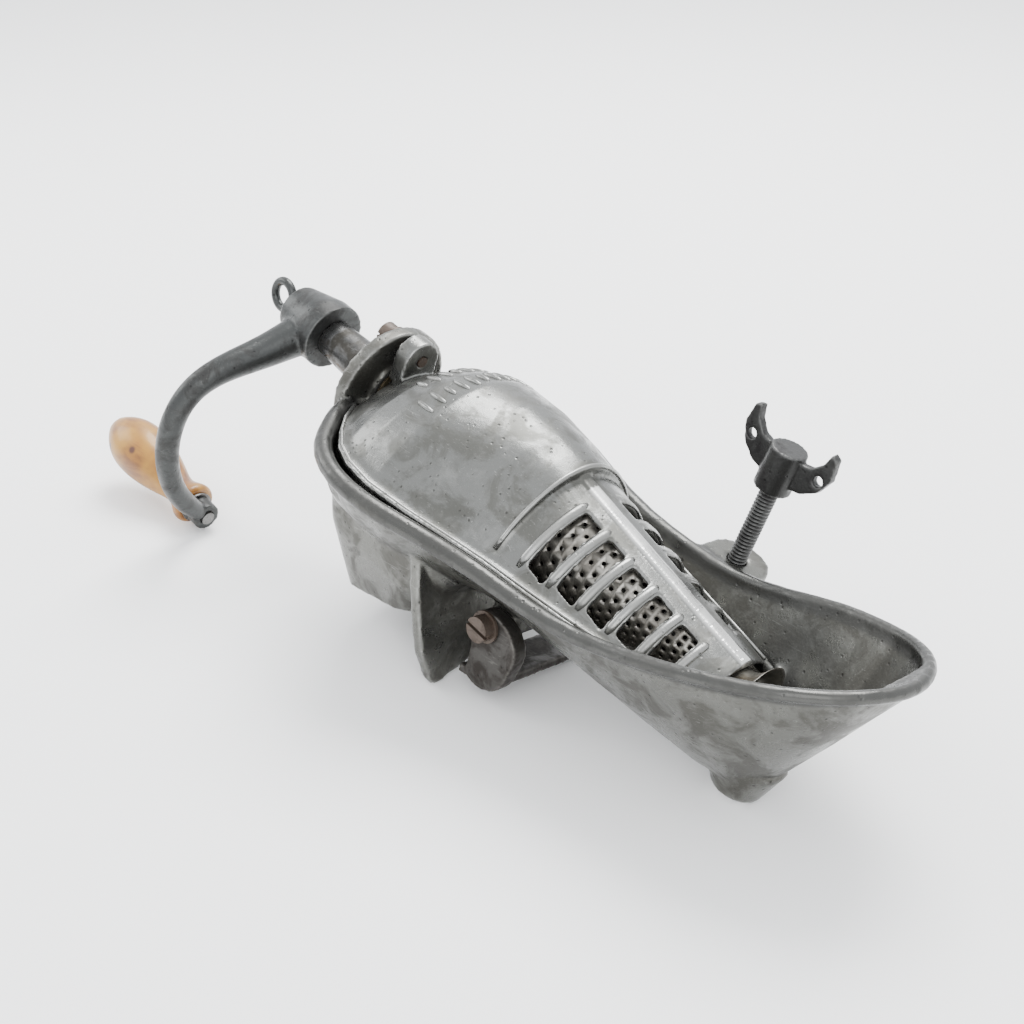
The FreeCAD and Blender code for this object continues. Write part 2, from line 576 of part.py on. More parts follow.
def grip_shape():
    """Turned pear-shaped grip with a through bore for its pin."""
    length = dim("grip_length")
    profile = [(0.0, dim("grip_bead") - 2.0), (3.0, dim("grip_bead")), (7.5, dim("grip_bead") - 1.2),
               (15.0, dim("grip_neck")), (26.0, dim("grip_neck") + 1.8), (42.0, dim("grip_bulb") - 1.8),
               (56.0, dim("grip_bulb")), (70.0, dim("grip_bulb") - 1.4), (81.0, 10.2), (length, 4.6)]
    points = [Vector(-along, radius, 0) for along, radius in profile]
    outline = Part.Wire([Part.makeLine(Vector(0, 0, 0), points[0]), spline_edge(points),
                         Part.makeLine(points[-1], Vector(-length, 0, 0)),
                         Part.makeLine(Vector(-length, 0, 0), Vector(0, 0, 0))])
    grip = Part.Face(outline).revolve(Vector(), X_AXIS, 360.0)
    bore = Part.makeCylinder(dim("grip_bore"), length + 2.0, Vector(-length - 1.0, 0, 0), X_AXIS)
    recess = Part.makeCylinder(dim("pin_head_radius") + 0.4, 20.0, Vector(-length - 14.0, 0, 0), X_AXIS)
    grip = grip.cut([bore, recess])
    grip.translate(Vector(dim("grip_start"), dim("throw_y"), dim("throw_z")))
    return grip


feature("handle_grip", grip_shape())
head_face = dim("grip_start") - dim("grip_length") + 6.0
pin_length = dim("arm_end_x") + dim("arm_end_half") + 1.2 - head_face
pin_stem = cylinder("pin_stem", "dims.pin_radius", "%s" % pin_length,
                    head_face, dim("throw_y"), dim("throw_z"), ALONG_X)
pin_head = cylinder("pin_head", "dims.pin_head_radius", "dims.pin_head_depth",
                    head_face - dim("pin_head_depth") - 0.2, dim("throw_y"), dim("throw_z"), ALONG_X)
pin_neck = cylinder("pin_neck", "dims.pin_radius", "1", head_face - 0.4,
                    dim("throw_y"), dim("throw_z"), ALONG_X)
keep(joined("handle_pin", [pin_stem, pin_head, pin_neck]), "handle_pin")
washer("handle_washer", "dims.grip_washer_radius", "dims.pin_radius + 0.05", "dims.grip_washer_depth",
       dim("grip_start") + 0.3, dim("throw_y"), dim("throw_z"), ALONG_X)


# ------------------------------------------------------------------ cover bolt

bolt_start = -dim("bolt_washer_depth") - dim("seat_gap")
bolt_stem = cylinder("bolt_stem", "dims.bolt_radius", "dims.bolt_end + dims.bolt_washer_depth + 1",
                     bolt_start - 1.0, 0, dim("ear_eye"), ALONG_X)
bolt_head = cylinder("bolt_head", "dims.bolt_head_radius", "dims.bolt_head_depth",
                     bolt_start - dim("bolt_head_depth") - 0.05, 0, dim("ear_eye"), ALONG_X)
bolt_slot = block("bolt_slot", "2", "20", "1.6", bolt_start - dim("bolt_head_depth") - 0.5, -10.0,
                  dim("ear_eye") - 0.8)
keep(less("cover_bolt", joined("bolt_solid", [bolt_stem, bolt_head]), bolt_slot), "cover_bolt")
washer("cover_bolt_washer", "dims.bolt_washer_radius", "dims.bolt_radius + 0.06", "dims.bolt_washer_depth",
       bolt_start, 0, dim("ear_eye"), ALONG_X)


# ----------------------------------------------------------------- clamp screw

lug_centre = (dim("lug_x"), dim("lug_y"))
screw_stem = cylinder("screw_stem", "dims.screw_radius", "dims.screw_top - dims.screw_bottom",
                      *lug_centre, dim("screw_bottom"), Rotation())
screw_neck = cylinder("screw_neck", "dims.pad_neck_radius", "dims.pad_neck_depth + 0.5",
                      *lug_centre, dim("screw_bottom") - dim("pad_neck_depth"), Rotation())
keep(joined("clamp_screw", [screw_stem, screw_neck]), "clamp_screw")


def wing_shape():
    """Barrel with two upswept wings, each pierced by an eye."""
    bottom = dim("wing_hub_bottom")
    top = dim("wing_hub_top")
    x = dim("lug_x")
    y = dim("lug_y")
    barrel = Part.makeCylinder(dim("wing_hub_radius"), top - bottom, Vector(x, y, bottom), Z_AXIS)
    half = dim("wing_plate") / 2
    outline = [(6.0, bottom + 5.0), (15.0, bottom + 7.0), (23.0, bottom + 13.0), (27.0, bottom + 22.0),
               (25.5, bottom + 33.0), (22.0, bottom + 34.5), (20.0, bottom + 27.5), (15.0, bottom + 22.0),
               (6.0, bottom + 20.0)]
    eye = Part.makeCylinder(dim("wing_eye_radius"), 20.0, Vector(21.0, -10.0, bottom + 18.5), Y_AXIS)
    points = [Vector(dx, -half, z) for dx, z in outline]
    wing = Part.Face(Part.makePolygon(points + points[:1])).extrude(Vector(0, 2 * half, 0)).cut(eye)
    right = wing.copy()
    right.translate(Vector(x, y, 0))
    left = wing.copy()
    left.rotate(Vector(), Z_AXIS, 180.0)
    left.translate(Vector(x, y, 0))
    socket = Part.makeCylinder(dim("screw_radius"), dim("screw_top") - bottom + 1.0,
                               Vector(x, y, bottom - 1.0), Z_AXIS)
    return barrel.fuse([right, left]).cut(socket).removeSplitter()


feature("wing_head", wing_shape())

pad_top = dim("screw_bottom") - 0.2
pad_blank = cone("pad_blank", "dims.pad_radius", "dims.pad_radius - 4", "dims.pad_depth",
                 *lug_centre, pad_top - dim("pad_depth"), Rotation())
pad_hole = cylinder("pad_hole", "dims.pad_neck_radius + 0.06", "dims.pad_neck_depth + 0.6",
                    *lug_centre, pad_top - dim("pad_neck_depth") - 0.3, Rotation())
keep(less("clamp_pad", pad_blank, pad_hole), "clamp_pad")


# ------------------------------------------------------------------- clamp jaw

def jaw_shape():
    """Curved lever on its pivot with a flat shoe across the lower end."""
    near = dim("jaw_near")
    x = dim("jaw_x")
    z = dim("jaw_z")
    outline = [Vector(x - 8.5, near, z - 2.0), Vector(x - 5.5, near, z + 5.5),
               Vector(x + 2.0, near, z + 8.2), Vector(x + 13.0, near, z + 6.0),
               Vector(x + 21.0, near, z - 2.0), Vector(x + 21.5, near, z - 14.0),
               Vector(x + 16.0, near, dim("shoe_bottom") + 2.0),
               Vector(x - 1.0, near, dim("shoe_bottom") - 1.0), Vector(x - 5.0, near, z - 18.0)]
    curve = Part.BSplineCurve()
    curve.interpolate(outline, True)
    lever = Part.Face(Part.Wire(curve.toShape())).extrude(Vector(0, dim("jaw_plate"), 0))
    shoe_length = dim("shoe_far") - dim("shoe_near")
    shoe = Part.makeBox(2 * dim("shoe_half"), shoe_length + 13.0, dim("shoe_depth"),
                        Vector(-dim("shoe_half"), near, 0))
    shoe.rotate(Vector(), Y_AXIS, -dim("rest_pitch"))
    shoe.translate(Vector(dim("shoe_x"), 0, dim("shoe_bottom")))
    hole = Part.makeCylinder(dim("jaw_bolt_radius") + 0.06, 30.0, Vector(x, near - 5.0, z), Y_AXIS)
    return lever.fuse(shoe).cut(hole).removeSplitter()


feature("swing_jaw", jaw_shape())
washer("jaw_washer", "dims.jaw_washer_radius", "dims.jaw_bolt_radius + 0.06", "dims.jaw_washer_depth",
       dim("jaw_x"), dim("jaw_near") - dim("jaw_washer_depth") - 0.25, dim("jaw_z"), ALONG_Y)
jaw_head_face = dim("jaw_near") - dim("jaw_washer_depth") - 0.3
jaw_stem = cylinder("jaw_stem", "dims.jaw_bolt_radius", "%s" % (dim("jaw_boss_end") + 6.0 - jaw_head_face),
                    dim("jaw_x"), jaw_head_face, dim("jaw_z"), ALONG_Y)
jaw_head = cylinder("jaw_head", "dims.jaw_head_radius", "dims.jaw_head_depth",
                    dim("jaw_x"), jaw_head_face - dim("jaw_head_depth"), dim("jaw_z"), ALONG_Y)
jaw_slot = block("jaw_slot", "20", "2.4", "1.8", dim("jaw_x") - 10.0,
                 jaw_head_face - dim("jaw_head_depth") - 0.4, dim("jaw_z") - 0.9)
keep(less("jaw_screw", joined("jaw_screw_solid", [jaw_stem, jaw_head]), jaw_slot), "jaw_screw")


# ----------------------------------------------------------- checks and export

doc.recompute()
for item in doc.Objects:
    if "Invalid" in item.State or "Error" in item.State:
        raise RuntimeError("%s is %s" % (item.Name, item.State))
for item in sub_parts:
    if item.Shape.isNull() or not item.Shape.isValid() or not item.Shape.Solids:
        raise RuntimeError("%s has no valid solid" % item.Label)

os.makedirs("parts", exist_ok=True)
for item in sub_parts:
    item.Shape.exportStep("parts/%s.step" % item.Label)
    print("%-18s solids %d  volume %9.1f mm3" % (item.Label, len(item.Shape.Solids), item.Shape.Volume))
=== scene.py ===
"""Looks of a clamp-on fruit strainer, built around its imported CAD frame.

Every piece is modelled in metres in the row frame.  The machine lies tilted on
its side of use, so local positions are stated in the machine's own frame
(X along the worm, Z towards the slotted cover) and turned by MachineFrame.
"""

import json
import logging
import math
from dataclasses import dataclass
from enum import Enum
from typing import Callable, Optional, Sequence, Union

import bmesh
import bpy
from mathutils import Euler, Matrix, Vector
from mathutils.bvhtree import BVHTree


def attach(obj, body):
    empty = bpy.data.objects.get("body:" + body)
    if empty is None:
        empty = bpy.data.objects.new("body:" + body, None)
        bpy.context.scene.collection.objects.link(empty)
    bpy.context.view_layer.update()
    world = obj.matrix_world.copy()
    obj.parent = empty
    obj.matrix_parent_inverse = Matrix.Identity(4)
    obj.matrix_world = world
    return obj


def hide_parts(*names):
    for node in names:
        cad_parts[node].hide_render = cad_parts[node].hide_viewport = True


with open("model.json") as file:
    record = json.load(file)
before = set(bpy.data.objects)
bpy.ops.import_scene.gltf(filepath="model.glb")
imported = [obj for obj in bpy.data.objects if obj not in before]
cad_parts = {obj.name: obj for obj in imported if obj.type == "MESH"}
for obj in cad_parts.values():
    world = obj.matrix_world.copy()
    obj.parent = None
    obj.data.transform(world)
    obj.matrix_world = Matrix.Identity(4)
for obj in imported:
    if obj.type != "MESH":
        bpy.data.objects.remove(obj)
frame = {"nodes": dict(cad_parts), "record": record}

logger = logging.getLogger("fruit_strainer")
MM = 0.001
Colour = tuple[float, float, float]
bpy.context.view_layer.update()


class Body(Enum):
    """Names of the moving bodies in the frame."""

    FRAME = "frame_body"
    ROTOR = "rotor"
    GRIP = "grip"
    EYE_WASHER = "eye_washer"
    EYE_SCREW = "eye_screw"
    BOLT_WASHER = "bolt_washer"
    BOLT = "bolt"
    PAD = "pad"
    CLAMP = "clamp"
    JAW = "jaw"


# ------------------------------------------------------------------ geometry


class MachineFrame:
    """Turns machine coordinates in millimetres into row coordinates in metres."""

    def __init__(self) -> None:
        """Read the machine's axes and origin from the record's joints."""
        joints = {joint["name"]: joint for joint in frame["record"]["behaviour"]["joints"]}
        along = Vector(joints["crank_turn"]["axis"]).normalized()
        upward = Vector(joints["pad_slide"]["axis"]).normalized()
        across = upward.cross(along).normalized()
        origin = Vector(joints["crank_turn"]["pos_m"])
        turn = Matrix((along, across, upward)).transposed()
        self.matrix: Matrix = Matrix.Translation(origin) @ turn.to_4x4() @ Matrix.Scale(MM, 4)
        self.inverse: Matrix = self.matrix.inverted()

    def point(self, x: float, y: float, z: float) -> Vector:
        """Row position of a machine point.

        Args:
            x: Distance along the worm in millimetres.
            y: Distance towards the clamp screw in millimetres.
            z: Distance towards the cover in millimetres.

        Returns:
            The position in metres in the row frame.
        """
        return self.matrix @ Vector((x, y, z))


MACHINE = MachineFrame()
WELD_DISTANCE = 0.01 * MM
POINT_RADIUS = 1e-6


def mesh_object(name: str, shape: bmesh.types.BMesh, machine_units: bool = True) -> bpy.types.Object:
    """Turn a bmesh into a linked object at the origin.

    Args:
        name: Name of the new object.
        shape: Geometry, freed afterwards.
        machine_units: True when the geometry is in machine millimetres.

    Returns:
        The new object.
    """
    if machine_units:
        bmesh.ops.transform(shape, matrix=MACHINE.matrix, verts=shape.verts)
    bmesh.ops.recalc_face_normals(shape, faces=shape.faces)
    mesh = bpy.data.meshes.new(name)
    shape.to_mesh(mesh)
    shape.free()
    mesh.shade_smooth()
    piece = bpy.data.objects.new(name, mesh)
    bpy.context.scene.collection.objects.link(piece)
    return piece


def applied(piece: bpy.types.Object) -> bpy.types.Object:
    """Bake an object's modifiers into its mesh.

    Args:
        piece: Object whose modifiers are applied.

    Returns:
        The same object.
    """
    graph = bpy.context.evaluated_depsgraph_get()
    baked = bpy.data.meshes.new_from_object(piece.evaluated_get(graph))
    piece.modifiers.clear()
    piece.data = baked
    baked.shade_smooth()
    return piece


def softened(name: str, node: str, voxel: float, rounds: int, keep: float = 1.0) -> bpy.types.Object:
    """Cast-looking copy of a CAD node: edges rounded as sand casting leaves them.

    Args:
        name: Name of the new object.
        node: CAD node to copy.
        voxel: Remesh size in millimetres.
        rounds: Smoothing passes after the remesh.
        keep: Share of faces that a final thinning keeps.

    Returns:
        The new object, with its modifiers applied.
    """
    shape = bmesh.new()
    shape.from_mesh(frame["nodes"][node].data)
    bmesh.ops.remove_doubles(shape, verts=shape.verts, dist=WELD_DISTANCE)
    mesh = bpy.data.meshes.new(name)
    shape.to_mesh(mesh)
    shape.free()
    mesh.materials.clear()
    piece = bpy.data.objects.new(name, mesh)
    bpy.context.scene.collection.objects.link(piece)
    remesh = piece.modifiers.new("Remesh", "REMESH")
    remesh.mode = "VOXEL"
    remesh.voxel_size = voxel * MM
    smooth = piece.modifiers.new("Smooth", "SMOOTH")
    smooth.factor = 0.5
    smooth.iterations = rounds
    if keep < 1.0:
        thin = piece.modifiers.new("Thin", "DECIMATE")
        thin.ratio = keep
    return applied(piece)


def lathe(name: str, outline: Sequence[tuple[float, float]], start: Vector, axis: Vector,
          segments: int = 64) -> bpy.types.Object:
    """Body of revolution in machine millimetres.

    Args:
        name: Name of the new object.
        outline: (along, radius) pairs from one end to the other.
        start: Machine point where along is zero.
        axis: Machine direction of along.
        segments: Faces round the body.

    Returns:
        The new object.
    """
    shape = bmesh.new()
    turn = axis.to_track_quat("Z", "Y").to_matrix().to_4x4()
    rings = []
    for along, radius in outline:
        if radius < POINT_RADIUS:
            rings.append([shape.verts.new((0, 0, along))])
            continue
        ring = []
        for step in range(segments):
            angle = 2 * math.pi * step / segments
            ring.append(shape.verts.new((radius * math.cos(angle), radius * math.sin(angle), along)))
        rings.append(ring)
    for low, high in zip(rings, rings[1:]):
        for step in range(segments):
            after = (step + 1) % segments
            if len(low) == 1 and len(high) == 1:
                continue
            if len(low) == 1:
                shape.faces.new((low[0], high[step], high[after]))
            elif len(high) == 1:
                shape.faces.new((low[step], high[0], low[after]))
            else:
                shape.faces.new((low[step], high[step], high[after], low[after]))
    for ring in (rings[0], rings[-1]):
        if len(ring) > 1:
            shape.faces.new(ring)
    bmesh.ops.transform(shape, matrix=Matrix.Translation(start) @ turn, verts=shape.verts)
    return mesh_object(name, shape)


def rounded(piece: bpy.types.Object, width: float) -> None:
    """Bevel an object's sharp edges.

    Args:
        piece: Object that gets the bevel.
        width: Bevel width in millimetres.
    """
    bevel = piece.modifiers.new("Bevel", "BEVEL")
    bevel.width = width * MM
    bevel.segments = 3
    bevel.limit_method = "ANGLE"
    bevel.angle_limit = math.radians(35.0)
    bevel.harden_normals = True


def tone(piece: bpy.types.Object, share: Callable[[Vector], float]) -> None:
    """Store how strongly each vertex takes its finish's edge colour.

    Args:
        piece: Object that gets the attribute.
        share: Function from a machine position to 0..1.
    """
    mesh = piece.data
    layer = mesh.attributes.new(EDGE_TONE, "FLOAT", "POINT")
    for vertex, item in zip(mesh.vertices, layer.data):
        item.value = share(MACHINE.inverse @ vertex.co)


def step_down(value: float, near: float, far: float) -> float:
    """One below near, zero beyond far, smooth between.

    Args:
        value: Distance to rate.
        near: Distance with full effect.
        far: Distance without effect.

    Returns:
        The share between 0 and 1.
    """
    share = min(max((far - value) / (far - near), 0.0), 1.0)
    return share * share * (3.0 - 2.0 * share)


def tube(shape: bmesh.types.BMesh, points: Sequence[Vector], radii: Sequence[float],
         sides: int = 10) -> None:
    """Add a round bar along machine points to a bmesh.

    Args:
        shape: Geometry in machine millimetres.
        points: Centre line.
        radii: Radius at each point.
        sides: Faces round the bar.
    """
    rings = []
    for index, (point, radius) in enumerate(zip(points, radii)):
        ahead = points[min(index + 1, len(points) - 1)]
        behind = points[max(index - 1, 0)]
        turn = (ahead - behind).to_track_quat("Z", "Y").to_matrix()
        ring = []
        for step in range(sides):
            angle = 2 * math.pi * step / sides
            outward = Vector((radius * math.cos(angle), radius * math.sin(angle), 0))
            ring.append(shape.verts.new(point + turn @ outward))
        rings.append(ring)
    for low, high in zip(rings, rings[1:]):
        for step in range(sides):
            after = (step + 1) % sides
            shape.faces.new((low[step], low[after], high[after], high[step]))
    shape.faces.new(rings[0])
    shape.faces.new(rings[-1])


def threaded_rod(name: str, foot: Vector, top: float, radius: float, pitch: float,
                 depth: float) -> bpy.types.Object:
    """Rod along the machine's Z with a helical thread.

    Args:
        name: Name of the new object.
        foot: Machine point at the rod's lower end.
        top: Height of the upper end.
        radius: Outer radius.
        pitch: Rise of one thread turn.
        depth: Depth of the thread.

    Returns:
        The rod.
    """
    shape = bmesh.new()
    segments = 28
    rings_per_turn = 7
    count = int((top - foot.z) / pitch * rings_per_turn)
    rings = []
    for index in range(count + 1):
        z = foot.z + (top - foot.z) * index / count
        ring = []
        for step in range(segments):
            turn = step / segments
            phase = (z / pitch - turn) % 1.0
            groove = depth * (1.0 - abs(2.0 * phase - 1.0))
            angle = 2 * math.pi * turn
            reach = radius - groove
            spot = Vector((foot.x + reach * math.cos(angle), foot.y + reach * math.sin(angle), z))
            ring.append(shape.verts.new(spot))
        rings.append(ring)
    for low, high in zip(rings, rings[1:]):
        for step in range(segments):
            after = (step + 1) % segments
            shape.faces.new((low[step], low[after], high[after], high[step]))
    shape.faces.new(rings[0])
    shape.faces.new(rings[-1])
    return mesh_object(name, shape)


# ----------------------------------------------------------------- materials


@dataclass(frozen=True)
class MetalFinish:
    """How one metal surface looks.

    The colours are linear: clean metal, its stain, its rubbed places and, where the
    piece stores an edge tone, that tone's colour.
    """

    name: str
    clean: Colour
    stain: Colour
    worn: Colour
    metallic: float
    rough_low: float
    rough_high: float
    stain_scale: float
    wear: float
    grain: float
    pits: float
    edge: Colour = (0.3, 0.3, 0.3)


# the body's dark edge colour is painted shade along the rolled rim, and also darkens a patch inside the scoop
CAST_BODY = MetalFinish(
    "body_casting_metal", clean=(0.125, 0.125, 0.114), stain=(0.070, 0.068, 0.060),
    worn=(0.350, 0.350, 0.335), metallic=0.88, rough_low=0.27, rough_high=0.46,
    stain_scale=48.0, wear=0.42, grain=0.38, pits=0.65, edge=(0.050, 0.050, 0.048))
CAST_COVER = MetalFinish(
    "grid_cover_metal", clean=(0.155, 0.157, 0.150), stain=(0.092, 0.092, 0.084),
    worn=(0.400, 0.400, 0.385), metallic=0.90, rough_low=0.24, rough_high=0.40,
    stain_scale=50.0, wear=0.42, grain=0.26, pits=0.55, edge=(0.740, 0.740, 0.720))
TINNED = MetalFinish(
    "strainer_tin", clean=(0.194, 0.186, 0.162), stain=(0.069, 0.058, 0.041),
    worn=(0.400, 0.384, 0.352), metallic=0.90, rough_low=0.30, rough_high=0.52,
    stain_scale=60.0, wear=0.45, grain=0.10, pits=0.20)
CRANK_IRON = MetalFinish(
    "crank_iron", clean=(0.046, 0.048, 0.047), stain=(0.031, 0.031, 0.030),
    worn=(0.150, 0.150, 0.145), metallic=0.82, rough_low=0.33, rough_high=0.50,
    stain_scale=60.0, wear=0.28, grain=0.50, pits=0.55)
CLAMP_IRON = MetalFinish(
    "clamp_iron", clean=(0.033, 0.033, 0.032), stain=(0.016, 0.015, 0.015),
    worn=(0.160, 0.160, 0.156), metallic=0.75, rough_low=0.34, rough_high=0.58,
    stain_scale=60.0, wear=0.38, grain=0.55, pits=0.55)
JAW_IRON = MetalFinish(
    "jaw_iron", clean=(0.046, 0.043, 0.039), stain=(0.022, 0.018, 0.015),
    worn=(0.160, 0.152, 0.140), metallic=0.65, rough_low=0.42, rough_high=0.68,
    stain_scale=60.0, wear=0.45, grain=0.55, pits=0.60)
SHAFT_STEEL = MetalFinish(
    "shaft_steel", clean=(0.072, 0.072, 0.071), stain=(0.032, 0.030, 0.026),
    worn=(0.272, 0.264, 0.256), metallic=0.90, rough_low=0.27, rough_high=0.50,
    stain_scale=70.0, wear=0.45, grain=0.15, pits=0.30)
BRASS = MetalFinish(
    "dull_brass", clean=(0.144, 0.112, 0.063), stain=(0.056, 0.040, 0.024),
    worn=(0.320, 0.264, 0.168), metallic=0.86, rough_low=0.34, rough_high=0.58,
    stain_scale=80.0, wear=0.45, grain=0.10, pits=0.25)
RUSTY = MetalFinish(
    "rusty_steel", clean=(0.034, 0.018, 0.010), stain=(0.017, 0.008, 0.004),
    worn=(0.090, 0.070, 0.055), metallic=0.40, rough_low=0.44, rough_high=0.75,
    stain_scale=150.0, wear=0.50, grain=0.45, pits=0.55)
WORM_METAL = MetalFinish(
    "worm_metal", clean=(0.130, 0.127, 0.117), stain=(0.050, 0.046, 0.038),
    worn=(0.320, 0.320, 0.304), metallic=0.85, rough_low=0.32, rough_high=0.58,
    stain_scale=45.0, wear=0.45, grain=0.30, pits=0.40)
EDGE_TONE = "edge_tone"
MIX_FIRST, MIX_SECOND, MIX_RESULT = 6, 7, 2


class NodeSheet:
    """Small helper that lays out one material's or group's nodes."""

    def __init__(self, tree: bpy.types.NodeTree) -> None:
        """Keep the tree.

        Args:
            tree: Node tree to fill.
        """
        self.tree = tree

    def add(self, kind: str, **values: object) -> bpy.types.Node:
        """Add a node and set its properties and inputs.

        Args:
            kind: Blender node type.
            values: Properties by name, or inputs by socket name with spaces as underscores.

        Returns:
            The new node.
        """
        node = self.tree.nodes.new(kind)
        for key, value in values.items():
            socket = node.inputs.get(key.replace("_", " "))
            if socket is not None:
                socket.default_value = value
            else:
                setattr(node, key, value)
        return node

    def link(self, source: bpy.types.NodeSocket, target: bpy.types.NodeSocket) -> None:
        """Join two sockets.

        Args:
            source: Output socket.
            target: Input socket.
        """
        self.tree.links.new(source, target)

    def ramp(self, source: bpy.types.NodeSocket, low: float, high: float) -> bpy.types.NodeSocket:
        """Stretch a value between two limits to 0..1.

        Args:
            source: Socket with the value.
            low: Value that becomes 0.
            high: Value that becomes 1.

        Returns:
            The stretched value's socket.
        """
        node = self.add("ShaderNodeMapRange", From_Min=low, From_Max=high)
        node.interpolation_type = "SMOOTHSTEP"
        self.link(source, node.inputs["Value"])
        return node.outputs["Result"]

    def blend(self, amount: bpy.types.NodeSocket, first: Union[Colour, bpy.types.NodeSocket],
              second: Colour) -> bpy.types.NodeSocket:
        """Mix two colours.

        Args:
            amount: Socket with the share of the second.
            first: Colour tuple or socket.
            second: Colour tuple.

        Returns:
            The mixed colour's socket.
        """
        node = self.add("ShaderNodeMix", data_type="RGBA", blend_type="MIX")
        self.link(amount, node.inputs[0])
        if isinstance(first, tuple):
            node.inputs[MIX_FIRST].default_value = (*first, 1.0)
        else:
            self.link(first, node.inputs[MIX_FIRST])
        node.inputs[MIX_SECOND].default_value = (*second, 1.0)
        return node.outputs[MIX_RESULT]

    def calculate(self, operation: str, first: bpy.types.NodeSocket,
                  second: Union[float, bpy.types.NodeSocket],
                  third: Optional[bpy.types.NodeSocket] = None) -> bpy.types.NodeSocket:
        """One arithmetic step.

        Args:
            operation: Blender's name of the operation.
            first: First value.
            second: Second value, a constant or a socket.
            third: Third value, for an operation that takes one.

        Returns:
            The result's socket.
        """
        node = self.add("ShaderNodeMath", operation=operation)
        self.link(first, node.inputs[0])
        if isinstance(second, float):
            node.inputs[1].default_value = second
        else:
            self.link(second, node.inputs[1])
        if third is not None:
            self.link(third, node.inputs[2])
        return node.outputs[0]


def ageing_group() -> bpy.types.NodeTree:
    """Shared group: mottled stain, rubbing, specks and surface height from a vector.

    Returns:
        The node group with outputs Stain, Wear, Speck and Height.
    """
    tree = bpy.data.node_groups.new("metal ageing", "ShaderNodeTree")
    face = tree.interface
    face.new_socket("Vector", in_out="INPUT", socket_type="NodeSocketVector")
    for name, default in (("Stain Scale", 30.0), ("Grain", 0.3), ("Pits", 0.3)):
        face.new_socket(name, in_out="INPUT", socket_type="NodeSocketFloat").default_value = default
    for name in ("Stain", "Wear", "Speck", "Height"):
        face.new_socket(name, in_out="OUTPUT", socket_type="NodeSocketFloat")
    sheet = NodeSheet(tree)
    inlet = sheet.add("NodeGroupInput")
    outlet = sheet.add("NodeGroupOutput")

    def noise(scale: float, detail: float, rough: float, distortion: float = 0.0) -> bpy.types.Node:
        """Noise texture over the group's vector."""
        node = sheet.add("ShaderNodeTexNoise", Scale=scale, Detail=detail, Roughness=rough,
                         Distortion=distortion)
        sheet.link(inlet.outputs["Vector"], node.inputs["Vector"])
        return node

    broad = noise(30.0, 5.0, 0.62, 0.6)
    sheet.link(inlet.outputs["Stain Scale"], broad.inputs["Scale"])
    fine = noise(420.0, 4.0, 0.65)
    medium = noise(120.0, 4.0, 0.6, 0.3)
    rubbing = noise(60.0, 6.0, 0.7, 0.2)
    cells = sheet.add("ShaderNodeTexVoronoi", Scale=260.0)
    sheet.link(inlet.outputs["Vector"], cells.inputs["Vector"])

    patches = sheet.ramp(broad.outputs["Fac"], 0.40, 0.66)
    mottled = sheet.calculate("MULTIPLY_ADD", medium.outputs["Fac"], 0.55, patches)
    sheet.link(sheet.ramp(mottled, 0.22, 1.15), outlet.inputs["Stain"])
    sheet.link(sheet.ramp(rubbing.outputs["Fac"], 0.52, 0.72), outlet.inputs["Wear"])
    pit = sheet.ramp(cells.outputs["Distance"], 0.26, 0.06)
    gate = sheet.ramp(medium.outputs["Fac"], 0.45, 0.57)
    speck = sheet.calculate("MULTIPLY", pit, gate)
    sheet.link(speck, outlet.inputs["Speck"])
    grain_height = sheet.calculate("MULTIPLY", fine.outputs["Fac"], inlet.outputs["Grain"])
    pit_depth = sheet.calculate("MULTIPLY", speck, inlet.outputs["Pits"])
    sheet.link(sheet.calculate("SUBTRACT", grain_height, pit_depth), outlet.inputs["Height"])
    return tree


